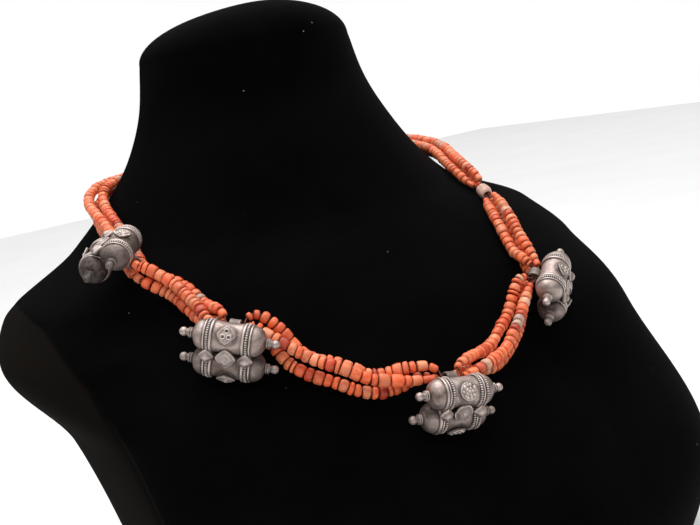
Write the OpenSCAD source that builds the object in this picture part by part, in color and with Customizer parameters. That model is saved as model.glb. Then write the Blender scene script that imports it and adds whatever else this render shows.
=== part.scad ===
// Three-string coral necklace with four silver double-barrel amulets,
// resting on a plain velvet neck bust. Millimetres, +Z up, the chest faces -Y.
// The origin is on the floor, under the middle of the model's box.

/* [Coral beads] */
// Diameter of a coral bead
bead_d = 5.4; // [4.8:0.1:5.6]
// Length of a coral bead along its thread
bead_len = 3.2; // [2.8:0.1:3.8]
// Bare thread between one bead and the next
bead_gap = 0.2; // [0.1:0.05:0.4]
// Diameter of the thread
thread_d = 0.7; // [0.5:0.1:0.8]

/* [Silver amulets] */
// Diameter of a barrel
barrel_d = 12; // [11.8:0.1:12.2]
// Length of a barrel between its two domes
barrel_len = 19.6; // [19:0.2:20.4]
// Height of the dome on each end of a barrel
dome_h = 4.5; // [4:0.1:5]
// Length of a knob: stem, collar and ball
knob_len = 5.8; // [5.4:0.1:6.2]
// Diameter of the ball that ends a knob
ball_d = 3.5; // [3.2:0.1:3.8]
// Distance between the axes of the two barrels
barrel_pitch = 11.7; // [11.5:0.1:11.8]
// Distance from the middle of a barrel to each pair of wire bands
band_at = 7.75; // [7.5:0.05:8]
// Width across the middle plate, corner to corner
plate_w = 8; // [7.4:0.1:8.4]
// Inner diameter of the loop on the back of the upper barrel
loop_bore = 4.2; // [4:0.1:4.4]
// Length of the loop along the thread
loop_len = 4.6; // [4.2:0.1:5]

/* [Pale bead and clasp] */
// Diameter of the pale bead that gathers the strings
pale_d = 7; // [6.4:0.1:7.6]
// Length of the pale bead
pale_len = 8; // [7:0.1:9]
// Diameter of the plain barrel clasp at the nape
clasp_d = 6; // [5.6:0.1:6.4]
// Length of the plain barrel clasp
clasp_len = 12; // [11:0.5:13]

/* [Neck bust] */
// Rings of facets from the base to the top of the neck
bust_rings = 44; // [36:2:52]
// Facets round each ring
bust_facets = 72; // [60:4:84]
// Height of the rounded top of the neck
crown_h = 22.5; // [20:0.5:25]

/* [Hidden] */
// Sections of the bust: height, half width, front, back, widest line, roundness
bust_rows = [
    [0, 124, -144, 29, -43, 2.5],
    [50, 140, -156, 40, -42, 2.8],
    [119, 148, -112, 56, 0, 3],
    [154, 165, -90, 65, 36, 2.1],
    [175, 154, -70, 72, 56, 2.1],
    [198, 111, -45, 77, 63, 1.9],
    [239, 73, -22, 73, 56, 2],
    [262, 63, -13, 70, 54, 2],
    [282, 58.5, -10, 65, 54, 2]
];
// Brings the middle of the whole model's box over the origin
to_middle = 36;
HEIGHT = 0;
HALF_W = 1;
FRONT = 2;
BACK = 3;
WIDEST = 4;
ROUND = 5;

// Gather points: angle round the bust, height, lift of the thread above the velvet,
// and the turns about X, Y and Z that lay the piece on the thread
gather_rows = [
    [-146, 184, 12.4, [-65, 3, -105]],
    [-132.5, 159, 12.6, [16, 17, -44]],
    [-107.5, 124, 13, [27, 11, -10]],
    [-72.5, 147, 10.6, [10, -24, 27]],
    [-57, 184.5, 4.4, [-67, -24, 67]],
    [-270, 236, 4.4, [0, 0, 180]]
];
// Turn of the first amulet about its loop: it hangs askew on the threads
askew = 30;
ANGLE = 0;
RISE = 1;
LIFT = 2;
TURNS = 3;
A = 0;
B = 1;
C = 2;
D = 3;
PALE = 4;
NAPE = 5;

// Places that the bundle of strings passes between two gather points, as
// angle round the bust, height, lift of the bundle's middle, its radius and its twist
on_nape_a = [
    [-205, 232, 5.4, 3.5, 0],
    [-189, 226, 5.4, 3.5, 0],
    [-182, 221, 5.4, 3.5, 0],
    [-175.5, 213, 5.8, 4.2, 10],
    [-161, 202, 6.2, 4.2, 0]
];
on_a_b = [
    [-138.5, 178, 5.9, 3.6, 10],
    [-135.5, 170, 5.9, 3.6, 10]
];
on_b_c = [
    [-126.5, 146, 6.4, 4.2, 0],
    [-122.5, 138.5, 6.8, 4.8, 10],
    [-118.5, 132, 6.4, 4.2, 10]
];
on_c_d = [
    [-92, 126.5, 6.8, 4.6, 10],
    [-85.5, 132, 6.6, 4.6, 0],
    [-80, 138.5, 6.2, 3.8, 0]
];
on_d_pale = [
    [-68.5, 160, 6, 3.8, 0],
    [-65.5, 171, 5.8, 3.8, 0]
];
on_pale_nape = [
    [-46, 197.5, 6, 3.5, 0],
    [-30, 205.5, 6.3, 3.5, 0],
    [-12, 210, 6.3, 3.5, 0],
    [2, 215, 6.2, 3.5, 0],
    [10, 221, 6.1, 3.5, 0],
    [25, 230, 5.9, 3.5, 0]
];
SPREAD = 3;
TWIST = 4;

// Small vector helpers
function unit(v) = v / norm(v);
function mix(a, b, t) = a + (b - a) * t;
function ramp(t) = let (c = min(max(t, 0), 1)) c * c * (3 - 2 * c);
function turned(v, r) = let (
        a = [v[0], v[1] * cos(r[0]) - v[2] * sin(r[0]), v[1] * sin(r[0]) + v[2] * cos(r[0])],
        b = [a[0] * cos(r[1]) + a[2] * sin(r[1]), a[1], a[2] * cos(r[1]) - a[0] * sin(r[1])]
    ) [b[0] * cos(r[2]) - b[1] * sin(r[2]), b[0] * sin(r[2]) + b[1] * cos(r[2]), b[2]];

// Monotone cubic through the section table
function secant(i, c) = (bust_rows[i + 1][c] - bust_rows[i][c])
    / (bust_rows[i + 1][HEIGHT] - bust_rows[i][HEIGHT]);
function blended(h0, h1, s0, s1) = s0 * s1 <= 0 ? 0
    : 3 * (h0 + h1) / ((2 * h1 + h0) / s0 + (h1 + 2 * h0) / s1);
function slope(i, c) = i == 0 ? secant(0, c)
    : i == len(bust_rows) - 1 ? secant(i - 1, c)
    : blended(bust_rows[i][HEIGHT] - bust_rows[i - 1][HEIGHT],
              bust_rows[i + 1][HEIGHT] - bust_rows[i][HEIGHT],
              secant(i - 1, c), secant(i, c));
bust_slopes = [for (i = [0 : len(bust_rows) - 1]) [for (c = [0 : 5]) slope(i, c)]];
function row_below(z, i = 0) = i >= len(bust_rows) - 2 || z < bust_rows[i + 1][HEIGHT]
    ? i : row_below(z, i + 1);
function section(z, c) = let (
        i = row_below(z),
        lo = bust_rows[i],
        hi = bust_rows[i + 1],
        h = hi[HEIGHT] - lo[HEIGHT],
        t = (z - lo[HEIGHT]) / h
    ) lo[c] * (1 + 2 * t) * pow(1 - t, 2) + bust_slopes[i][c] * h * t * pow(1 - t, 2)
    + hi[c] * t * t * (3 - 2 * t) + bust_slopes[i + 1][c] * h * t * t * (t - 1);

// A point of the bust's skin at an angle round it and a height, and the way out there
function skin(angle, z) = let (
        n = section(z, ROUND),
        depth = sin(angle) < 0 ? section(z, WIDEST) - section(z, FRONT)
            : section(z, BACK) - section(z, WIDEST),
        r = pow(pow(abs(cos(angle)) / section(z, HALF_W), n)
            + pow(abs(sin(angle)) / depth, n), -1 / n)
    ) [r * cos(angle), to_middle + section(z, WIDEST) + r * sin(angle), z];
function outward(angle, z) = unit(cross(
        skin(angle + 0.5, z) - skin(angle - 0.5, z),
        skin(angle, z + 0.5) - skin(angle, z - 0.5)));
function above_skin(row) = skin(row[ANGLE], row[RISE])
    + row[LIFT] * outward(row[ANGLE], row[RISE]);

// Where the strings enter and leave each gather point, and the way they run there
thread_ring = 0.9;
mouth_gap = 0.6;
end_gap = 0.15;
function half_tube(g) = (g == PALE ? pale_len : g == NAPE ? clasp_len : loop_len) / 2;
function middle(g) = above_skin(gather_rows[g]);
function along(g) = turned([1, 0, 0], gather_rows[g][TURNS]);
function forward(g) = turned([0, -1, 0], gather_rows[g][TURNS]);
function mouth(g, side) = middle(g) + side * (half_tube(g) + mouth_gap) * along(g);

// Beside a gather point the bundle lies behind the barrels, nearer to the velvet
run_out = 6.5;
drops = [3.4, 4.5, 4.6, 4.3, 0, 0];
function beside(g, side) = middle(g) + side * (half_tube(g) + run_out) * along(g)
    - drops[g] * forward(g);

// One stretch of the bundle: from gather point, places between, to gather point
stretches = [
    [NAPE, on_nape_a, A],
    [A, on_a_b, B],
    [B, on_b_c, C],
    [C, on_c_d, D],
    [D, on_d_pale, PALE],
    [PALE, on_pale_nape, NAPE]
];
FROM = 0;
VIA = 1;
TO = 2;

// Smooth curve through points, with a spare point before the first and after the last
function curve(q, t) = let (
        i = min(floor(t), len(q) - 4),
        u = t - i
    ) 0.5 * (2 * q[i + 1] + (q[i + 2] - q[i]) * u
    + (2 * q[i] - 5 * q[i + 1] + 4 * q[i + 2] - q[i + 3]) * u * u
    + (3 * q[i + 1] - q[i] - 3 * q[i + 2] + q[i + 3]) * u * u * u);
function with_ends(p, first_way, last_way) = let (n = len(p)) concat(
        [p[1] - 2 * norm(p[1] - p[0]) * first_way],
        p,
        [p[n - 2] + 2 * norm(p[n - 1] - p[n - 2]) * last_way]);
function bundle_points(s) = with_ends(
        concat([mouth(s[FROM], 1), beside(s[FROM], 1)], [for (row = s[VIA]) above_skin(row)],
            [beside(s[TO], -1), mouth(s[TO], -1)]),
        along(s[FROM]), along(s[TO]));
function bundle_outs(s) = concat([forward(s[FROM]), forward(s[FROM])],
        [for (row = s[VIA]) outward(row[ANGLE], row[RISE])], [forward(s[TO]), forward(s[TO])]);
function bundle_column(s, c, at_ends) = concat([at_ends, at_ends],
        [for (row = s[VIA]) row[c]], [at_ends, at_ends]);
function between(list, t) = let (
        i = min(floor(t), len(list) - 2)
    ) mix(list[i], list[i + 1], ramp(t - i));

// Point of one string at t along its stretch: t counts the places it has passed
fan_len = 6;
function string_point(q, outs, spreads, twists, string, t) = let (
        last = len(q) - 3,
        c = curve(q, t),
        way = unit(curve(q, min(t + 0.01, last)) - curve(q, max(t - 0.01, 0))),
        out = between(outs, t),
        up = unit(out - (out * way) * way),
        side = cross(up, way),
        near = min(norm(c - q[1]), norm(c - q[last + 1])),
        r = mix(thread_ring, between(spreads, t), ramp(near / fan_len)),
        turn = 90 + 120 * string + between(twists, t)
    ) c + r * (cos(turn) * side + sin(turn) * up);
samples = 72;
packed = (bead_d + 0.5) / sqrt(3);
function string_line(s, string) = let (
        q = bundle_points(s),
        outs = bundle_outs(s),
        spreads = bundle_column(s, SPREAD, packed),
        twists = bundle_column(s, TWIST, 0),
        last = len(q) - 3
    ) [for (i = [0 : samples]) string_point(q, outs, spreads, twists, string, last * i / samples)];

// Distance along a line of points, and the place at a distance
function distances(p) = [for (i = 0, d = 0; i < len(p);
    d = d + (i + 1 < len(p) ? norm(p[i + 1] - p[i]) : 0), i = i + 1) d];
function place_at(p, d, at) = let (
        i = max([for (k = [0 : len(d) - 2]) if (k == 0 || d[k] <= at) k])
    ) mix(p[i], p[i + 1], (at - d[i]) / (d[i + 1] - d[i]));

// Bare thread before the first bead and after the last bead of each string
leads = [5.6, 3, 5.2];
small_bead = 0.8;
function bead_size(j, n, string) = bead_d
    * mix(small_bead, 1, min(1, (min(j, n - 1 - j) + 1) / 3))
    * (1 - 0.05 * abs(sin(97 * j + 53 * string)));

module rod(a, b, d, facets = 16) {
    way = unit(b - a);
    translate(a)
        rotate([0, acos(way[2]), atan2(way[1], way[0])])
            cylinder(h = norm(b - a), d = d, $fn = facets);
}

// How much of a bead of radius r is left out so that it clears the next one at a bend
function bend_room(way, next_way, r) = let (
        c = min(1, way * next_way)
    ) r * sqrt((1 - c) / (1 + c));

// The beads of one string along one stretch. Each piece of thread ends inside
// the beads that it joins, and a knot holds it where it turns into a loop.
thread_hold = 0.5;
knot_d = 1;
module coral_string(s, string) {
    line = string_line(s, string);
    d = distances(line);
    total = d[len(d) - 1];
    lead = leads[string];
    n = round((total - 2 * lead) / (bead_len + bead_gap));
    pitch = (total - 2 * lead) / n;
    half = (pitch - bead_gap) / 2;
    centres = [for (j = [0 : n - 1]) place_at(line, d, lead + (j + 0.5) * pitch)];
    entry = line[0];
    exit = line[len(line) - 1];
    inside_from = entry - (half_tube(s[FROM]) + mouth_gap - end_gap) * along(s[FROM]);
    inside_to = exit + (half_tube(s[TO]) + mouth_gap - end_gap) * along(s[TO]);
    stops = concat([entry], centres, [exit]);
    ways = [for (j = [0 : n - 1]) unit(stops[j + 2] - stops[j])];
    rooms = [for (j = [0 : n]) j == 0 || j == n ? 0 : bend_room(ways[j - 1], ways[j], bead_d / 2)];
    starts = [for (j = [0 : n - 1]) centres[j] - (half - rooms[j]) * ways[j]];
    ends = [for (j = [0 : n - 1]) centres[j] + (half - rooms[j + 1]) * ways[j]];
    color("coral") {
        for (j = [0 : n - 1])
            rod(starts[j], ends[j], bead_size(j, n, string), 24);
        for (j = [0 : n - 2])
            rod(ends[j] - thread_hold * ways[j], starts[j + 1] + thread_hold * ways[j + 1], thread_d);
        rod(entry, starts[0] + thread_hold * ways[0], thread_d);
        rod(exit, ends[n - 1] - thread_hold * ways[n - 1], thread_d);
        rod(inside_from, entry, thread_d);
        rod(exit, inside_to, thread_d);
        for (bend = [entry, exit])
            translate(bend)
                sphere(d = knot_d, $fn = 16);
    }
}

// A bead along X with rounded shoulders and a bore, for the pale bead and the clasp
gather_bore = 3.6;
shoulder = 1.2;
module bored_barrel(d, len) {
    rotate([0, 90, 0])
        rotate_extrude($fn = 48)
            polygon([
                [gather_bore / 2, -len / 2],
                [d / 2 - shoulder, -len / 2],
                [d / 2, shoulder - len / 2],
                [d / 2, len / 2 - shoulder],
                [d / 2 - shoulder, len / 2],
                [gather_bore / 2, len / 2]
            ]);
}
module at_gather(g) {
    translate(middle(g))
        rotate(gather_rows[g][TURNS])
            children();
}
module pale_bead() {
    color("linen")
        at_gather(PALE)
            bored_barrel(pale_d, pale_len);
}
module clasp() {
    color("silver")
        at_gather(NAPE)
            bored_barrel(clasp_d, clasp_len);
}

// Outline of one end of a barrel, from its widest part to the tip of its knob,
// as [radius, distance along the axis]
stem_r = 1.3;
collar_r = 2.1;
collar_half = 0.7;
function barrel_end() = let (
        half = barrel_len / 2,
        stem_at = half + dome_h,
        collar_at = stem_at + collar_half + 0.4,
        ball_r = ball_d / 2,
        ball_at = stem_at + knob_len - ball_r,
        neck = acos(stem_r / ball_r)
    ) concat(
        [for (t = [0 : 15 : 75]) [stem_r + (barrel_d / 2 - stem_r) * cos(t), half + dome_h * sin(t)]],
        [[stem_r, stem_at]],
        [for (t = [-60 : 30 : 60])
            [stem_r + (collar_r - stem_r) * cos(t), collar_at + collar_half * sin(t)]],
        [[stem_r, collar_at + collar_half]],
        [for (t = [-neck : (90 + neck) / 9 : 85]) [ball_r * cos(t), ball_at + ball_r * sin(t)]],
        [[0, ball_at + ball_r]]);

// One closed barrel along X with four wire bands
band_wire = 1.4;
band_half_gap = 0.85;
module barrel() {
    outline = barrel_end();
    back_to_front = [for (i = [len(outline) - 1 : -1 : 0]) [outline[i][0], -outline[i][1]]];
    rotate([0, 90, 0])
        rotate_extrude($fn = 48)
            polygon(concat(outline, back_to_front));
    for (at = [-band_at, band_at], step = [-band_half_gap, band_half_gap])
        translate([at + step, 0, 0])
            rotate([0, 90, 0])
                rotate_extrude($fn = 48)
                    translate([barrel_d / 2, 0])
                        circle(d = band_wire, $fn = 16);
}

// Plates soldered on the front, their faces towards -Y: a lozenge on its corner
// or a round disc, each with a grain in the middle
plate_t = 1.2;
grain_d = 1.6;
module plate(width, round_one) {
    if (round_one)
        rotate([90, 0, 0])
            cylinder(h = plate_t, d = width, center = true, $fn = 32);
    else
        rotate([0, 45, 0])
            cube([width / sqrt(2), plate_t, width / sqrt(2)], center = true);
    translate([0, -plate_t / 2, 0])
        sphere(d = grain_d, $fn = 20);
}

// The two barrels, their plates and the loop. The middle of the loop is the origin,
// its bore runs along X, and the barrels turn about it by swing
loop_wall = 0.9;
solder = 0.4;
small_plate = 0.7;
plate_turn = 40;
module amulet(round_plates, swing = 0) {
    loop_d = loop_bore + 2 * loop_wall;
    axis_y = solder - barrel_d / 2 - loop_d / 2;
    face = barrel_d / 2 + 0.2;
    color("silver")
        difference() {
            union() {
                rotate([0, swing, 0])
                translate([0, axis_y, 0]) {
                    barrel();
                    translate([0, 0, -barrel_pitch])
                        barrel();
                    rotate([-plate_turn, 0, 0])
                        translate([0, -face, 0])
                            plate(0.88 * plate_w, round_plates);
                    translate([0, 0, -barrel_pitch])
                        rotate([plate_turn, 0, 0])
                            translate([0, -face, 0])
                                plate(0.88 * plate_w, round_plates);
                    translate([0, plate_t - face, -barrel_pitch / 2])
                        plate(plate_w, round_plates);
                    for (at = [-band_at, band_at])
                        translate([at, plate_t - face, -barrel_pitch / 2])
                            plate(small_plate * plate_w, false);
                }
                rotate([0, 90, 0])
                    cylinder(h = loop_len, d = loop_d, center = true, $fn = 40);
            }
            rotate([0, 90, 0])
                cylinder(h = loop_len + 2, d = loop_bore, center = true, $fn = 40);
        }
}
module amulet_a() { at_gather(A) amulet(false, askew); }
module amulet_b() { at_gather(B) amulet(false); }
module amulet_c() { at_gather(C) amulet(true); }
module amulet_d() { at_gather(D) amulet(false); }

// The bust: rings of points up its skin, closed by a flat base and a rounded crown
module neck_bust() {
    m = bust_facets;
    top = bust_rows[len(bust_rows) - 1][HEIGHT];
    turn = 360 / m;
    rings = [for (i = [0 : bust_rings]) [for (j = [0 : m - 1]) skin(j * turn, top * i / bust_rings)]];
    rim = rings[bust_rings];
    centre = [0, to_middle + (section(top, FRONT) + section(top, BACK)) / 2, top];
    crown = [for (t = [12 : 12 : 84])
        [for (p = rim) centre + cos(t) * (p - centre) + [0, 0, crown_h * sin(t)]]];
    all_rings = concat(rings, crown);
    n = len(all_rings);
    points = [for (ring = all_rings) each ring];
    sides = [for (i = [0 : n - 2], j = [0 : m - 1]) let (
            a = i * m + j,
            b = i * m + (j + 1) % m
        ) each [[a, a + m, b + m], [a, b + m, b]]];
    base = [for (j = [0 : m - 1]) j];
    lid = [for (j = [m - 1 : -1 : 0]) (n - 1) * m + j];
    color([0.08, 0.08, 0.09])
        polyhedron(points, concat(sides, [base, lid]), convexity = 4);
}

module coral_nape_a_1() { coral_string(stretches[0], 0); }
module coral_nape_a_2() { coral_string(stretches[0], 1); }
module coral_nape_a_3() { coral_string(stretches[0], 2); }
module coral_a_b_1() { coral_string(stretches[1], 0); }
module coral_a_b_2() { coral_string(stretches[1], 1); }
module coral_a_b_3() { coral_string(stretches[1], 2); }
module coral_b_c_1() { coral_string(stretches[2], 0); }
module coral_b_c_2() { coral_string(stretches[2], 1); }
module coral_b_c_3() { coral_string(stretches[2], 2); }
module coral_c_d_1() { coral_string(stretches[3], 0); }
module coral_c_d_2() { coral_string(stretches[3], 1); }
module coral_c_d_3() { coral_string(stretches[3], 2); }
module coral_d_pale_1() { coral_string(stretches[4], 0); }
module coral_d_pale_2() { coral_string(stretches[4], 1); }
module coral_d_pale_3() { coral_string(stretches[4], 2); }
module coral_pale_nape_1() { coral_string(stretches[5], 0); }
module coral_pale_nape_2() { coral_string(stretches[5], 1); }
module coral_pale_nape_3() { coral_string(stretches[5], 2); }

neck_bust();
amulet_a();
amulet_b();
amulet_c();
amulet_d();
pale_bead();
clasp();
coral_nape_a_1();
coral_nape_a_2();
coral_nape_a_3();
coral_a_b_1();
coral_a_b_2();
coral_a_b_3();
coral_b_c_1();
coral_b_c_2();
coral_b_c_3();
coral_c_d_1();
coral_c_d_2();
coral_c_d_3();
coral_d_pale_1();
coral_d_pale_2();
coral_d_pale_3();
coral_pale_nape_1();
coral_pale_nape_2();
coral_pale_nape_3();
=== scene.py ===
import math

import bpy
import numpy as np
from mathutils import Matrix, Vector


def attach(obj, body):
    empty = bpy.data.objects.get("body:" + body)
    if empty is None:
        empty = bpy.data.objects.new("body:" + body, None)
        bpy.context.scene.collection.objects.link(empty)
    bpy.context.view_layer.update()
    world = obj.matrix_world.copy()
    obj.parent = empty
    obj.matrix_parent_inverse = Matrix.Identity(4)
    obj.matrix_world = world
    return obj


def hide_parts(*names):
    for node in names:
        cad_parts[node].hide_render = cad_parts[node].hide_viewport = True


# A coral necklace with silver amulets on its velvet neck bust. Lengths are in mm up to the meshes,
# and +X is the wearer's left, -Y the side that the chest faces.
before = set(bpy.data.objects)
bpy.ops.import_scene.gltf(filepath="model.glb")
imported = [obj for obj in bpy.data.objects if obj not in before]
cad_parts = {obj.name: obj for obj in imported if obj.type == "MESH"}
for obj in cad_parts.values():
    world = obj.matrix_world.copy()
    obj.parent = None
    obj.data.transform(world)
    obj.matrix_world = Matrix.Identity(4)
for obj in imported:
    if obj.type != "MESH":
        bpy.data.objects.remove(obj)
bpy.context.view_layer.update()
MM = 0.001

# ---------------------------------------------------------------- the model's own tables, in mm
bead_d, thread_d = 5.4, 0.7
barrel_d, barrel_len, dome_h, knob_len, ball_d = 12.0, 19.6, 4.5, 5.8, 3.5
barrel_pitch, band_at, plate_w, loop_bore, loop_len = 11.7, 7.75, 8.0, 4.2, 4.6
pale_d, pale_len, clasp_len = 7.0, 8.0, 12.0
crown_h = 22.5
TO_MIDDLE = 36.0      # brings the middle of the model's box over the origin
# Sections of the bust: height, half width, front, back, widest line, roundness
HEIGHT, HALF_W, FRONT, BACK, WIDEST, ROUND = range(6)
bust_rows = np.array([
    [0, 124, -144, 29, -43, 2.5],
    [50, 140, -156, 40, -42, 2.8],
    [119, 148, -112, 56, 0, 3],
    [154, 165, -90, 65, 36, 2.1],
    [175, 154, -70, 72, 56, 2.1],
    [198, 111, -45, 77, 63, 1.9],
    [239, 73, -22, 73, 56, 2],
    [262, 63, -13, 70, 54, 2],
    [282, 58.5, -10, 65, 54, 2],
], dtype=float)
# Gather points: angle round the bust, height, lift above the skin, and the turns about X, Y and Z
A, B, C, D, PALE, NAPE = range(6)
gather_rows = [
    (-146, 184, 12.4, (-65, 3, -105)),
    (-132.5, 159, 12.6, (16, 17, -44)),
    (-107.5, 124, 13, (27, 11, -10)),
    (-72.5, 147, 10.6, (10, -24, 27)),
    (-57, 184.5, 4.4, (-67, -24, 67)),
    (-270, 236, 4.4, (0, 0, 180)),
]
ASKEW = 30.0          # degrees that amulet_a hangs askew on its threads
# Places that the strings pass between two gather points: angle round the bust, height, lift of
# the bundle's middle, its radius and its twist
on_nape_a = [(-205, 232, 5.4, 3.5, 0), (-189, 226, 5.4, 3.5, 0), (-182, 221, 5.4, 3.5, 0),
             (-175.5, 213, 5.8, 4.2, 10), (-161, 202, 6.2, 4.2, 0)]
on_a_b = [(-138.5, 178, 5.9, 3.6, 10), (-135.5, 170, 5.9, 3.6, 10)]
on_b_c = [(-126.5, 146, 6.4, 4.2, 0), (-122.5, 138.5, 6.8, 4.8, 10), (-118.5, 132, 6.4, 4.2, 10)]
on_c_d = [(-92, 126.5, 6.8, 4.6, 10), (-85.5, 132, 6.6, 4.6, 0), (-80, 138.5, 6.2, 3.8, 0)]
on_d_pale = [(-68.5, 160, 6, 3.8, 0), (-65.5, 171, 5.8, 3.8, 0)]
on_pale_nape = [(-46, 197.5, 6, 3.5, 0), (-30, 205.5, 6.3, 3.5, 0), (-12, 210, 6.3, 3.5, 0),
                (2, 215, 6.2, 3.5, 0), (10, 221, 6.1, 3.5, 0), (25, 230, 5.9, 3.5, 0)]
stretches = [
    ("nape_a", NAPE, on_nape_a, A),
    ("a_b", A, on_a_b, B),
    ("b_c", B, on_b_c, C),
    ("c_d", C, on_c_d, D),
    ("d_pale", D, on_d_pale, PALE),
    ("pale_nape", PALE, on_pale_nape, NAPE),
]


def unit(v):
    return v / np.linalg.norm(v)


def turn_matrix(turns):
    """Turns about X, then Y, then Z, in degrees."""
    rx, ry, rz = np.radians(turns)
    mx = np.array([[1, 0, 0], [0, math.cos(rx), -math.sin(rx)], [0, math.sin(rx), math.cos(rx)]])
    my = np.array([[math.cos(ry), 0, math.sin(ry)], [0, 1, 0], [-math.sin(ry), 0, math.cos(ry)]])
    mz = np.array([[math.cos(rz), -math.sin(rz), 0], [math.sin(rz), math.cos(rz), 0], [0, 0, 1]])
    return mz @ my @ mx


# Monotone cubic through the section table
row_h = bust_rows[:, HEIGHT]
secants = np.diff(bust_rows, axis=0) / np.diff(row_h)[:, None]
bust_slopes = np.zeros_like(bust_rows)
bust_slopes[0], bust_slopes[-1] = secants[0], secants[-1]
for i in range(1, len(bust_rows) - 1):
    h0, h1 = row_h[i] - row_h[i - 1], row_h[i + 1] - row_h[i]
    for c in range(6):
        s0, s1 = secants[i - 1, c], secants[i, c]
        if s0 * s1 > 0:
            bust_slopes[i, c] = 3 * (h0 + h1) / ((2 * h1 + h0) / s0 + (h1 + 2 * h0) / s1)


def section(z, c):
    """Column c of the bust's sections, at height z."""
    z = np.asarray(z, dtype=float)
    i = np.clip(np.searchsorted(row_h, z, side="right") - 1, 0, len(bust_rows) - 2)
    h = row_h[i + 1] - row_h[i]
    t = (z - row_h[i]) / h
    value, slope = bust_rows[:, c], bust_slopes[:, c]
    return (value[i] * (1 + 2 * t) * (1 - t) ** 2 + slope[i] * h * t * (1 - t) ** 2
            + value[i + 1] * t * t * (3 - 2 * t) + slope[i + 1] * h * t * t * (t - 1))


def skin(angle, z):
    """The point of the bust's skin at an angle round it and a height."""
    a = np.radians(np.asarray(angle, dtype=float))
    n = section(z, ROUND)
    depth = np.where(np.sin(a) < 0, section(z, WIDEST) - section(z, FRONT),
                     section(z, BACK) - section(z, WIDEST))
    r = (np.abs(np.cos(a) / section(z, HALF_W)) ** n + np.abs(np.sin(a) / depth) ** n) ** (-1 / n)
    return np.stack([r * np.cos(a), TO_MIDDLE + section(z, WIDEST) + r * np.sin(a),
                     np.broadcast_to(np.asarray(z, dtype=float), np.shape(r))], axis=-1)


def outward(angle, z):
    """The way out of the skin there."""
    n = np.cross(skin(angle + 0.5, z) - skin(angle - 0.5, z),
                 skin(angle, z + 0.5) - skin(angle, z - 0.5))
    return n / np.linalg.norm(n, axis=-1, keepdims=True)


def above_skin(row):
    """The place that a row gives as an angle, a height and a lift."""
    return skin(row[0], row[1]) + row[2] * outward(row[0], row[1])


# ---------------------------------------------------------------- the way of the strings
# The three threads leave a mouth THREAD_RING from its middle, and fan out over FAN_LEN
THREAD_RING, MOUTH_GAP, RUN_OUT, FAN_LEN = 0.9, 0.6, 6.5, 6.0
DROPS = [3.4, 4.5, 4.6, 4.3, 0, 0]        # how far the bundle lies behind each gather point
LEADS = [3.9, 1.7, 3.5]                   # bare thread at both ends of each string
PACKED = (bead_d + 0.5) / math.sqrt(3)    # radius of a bundle of three touching strings
LINE_STEPS = 360
turns_of = [turn_matrix(g[3]) for g in gather_rows]
middle_of = [above_skin(g) for g in gather_rows]


def half_tube(g):
    return (pale_len if g == PALE else clasp_len if g == NAPE else loop_len) / 2


def along(g):
    return turns_of[g][:, 0]


def forward(g):
    return -turns_of[g][:, 1]


def mouth(g, side):
    """Where the strings enter or leave a gather point."""
    return middle_of[g] + side * (half_tube(g) + MOUTH_GAP) * along(g)


def beside(g, side):
    """The middle of the bundle next to a gather point, nearer to the velvet."""
    return (middle_of[g] + side * (half_tube(g) + RUN_OUT) * along(g)
            - DROPS[g] * forward(g))


def ramp(t):
    c = np.clip(t, 0, 1)
    return c * c * (3 - 2 * c)


def curve(q, t):
    """A smooth curve through points, with a spare point before the first and after the last."""
    i = min(int(math.floor(t)), len(q) - 4)
    u = t - i
    return 0.5 * (2 * q[i + 1] + (q[i + 2] - q[i]) * u
                  + (2 * q[i] - 5 * q[i + 1] + 4 * q[i + 2] - q[i + 3]) * u * u
                  + (3 * q[i + 1] - q[i] - 3 * q[i + 2] + q[i + 3]) * u ** 3)


def between(values, t):
    """The value at t, eased from each value to the next."""
    i = min(int(math.floor(t)), len(values) - 2)
    return values[i] + (values[i + 1] - values[i]) * ramp(t - i)


def string_line(s, string):
    """The line of one string along a stretch, as LINE_STEPS + 1 points."""
    _, g0, via, g1 = s
    p = ([mouth(g0, 1), beside(g0, 1)] + [above_skin(r) for r in via]
         + [beside(g1, -1), mouth(g1, -1)])
    q = ([p[1] - 2 * np.linalg.norm(p[1] - p[0]) * along(g0)] + p
         + [p[-2] + 2 * np.linalg.norm(p[-1] - p[-2]) * along(g1)])
    outs = [forward(g0)] * 2 + [outward(r[0], r[1]) for r in via] + [forward(g1)] * 2
    spreads = [PACKED] * 2 + [r[3] for r in via] + [PACKED] * 2
    twists = [0, 0] + [r[4] for r in via] + [0, 0]
    last = len(q) - 3
    line = []
    for k in range(LINE_STEPS + 1):
        t = last * k / LINE_STEPS
        c = curve(q, t)
        way = unit(curve(q, min(t + 0.01, last)) - curve(q, max(t - 0.01, 0)))
        out = between(outs, t)
        up = unit(out - (out @ way) * way)
        side = np.cross(up, way)
        near = min(np.linalg.norm(c - q[1]), np.linalg.norm(c - q[last + 1]))
        r = THREAD_RING + (between(spreads, t) - THREAD_RING) * ramp(near / FAN_LEN)
        a = math.radians(90 + 120 * string + between(twists, t))
        line.append(c + r * (math.cos(a) * side + math.sin(a) * up))
    return np.array(line)


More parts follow.
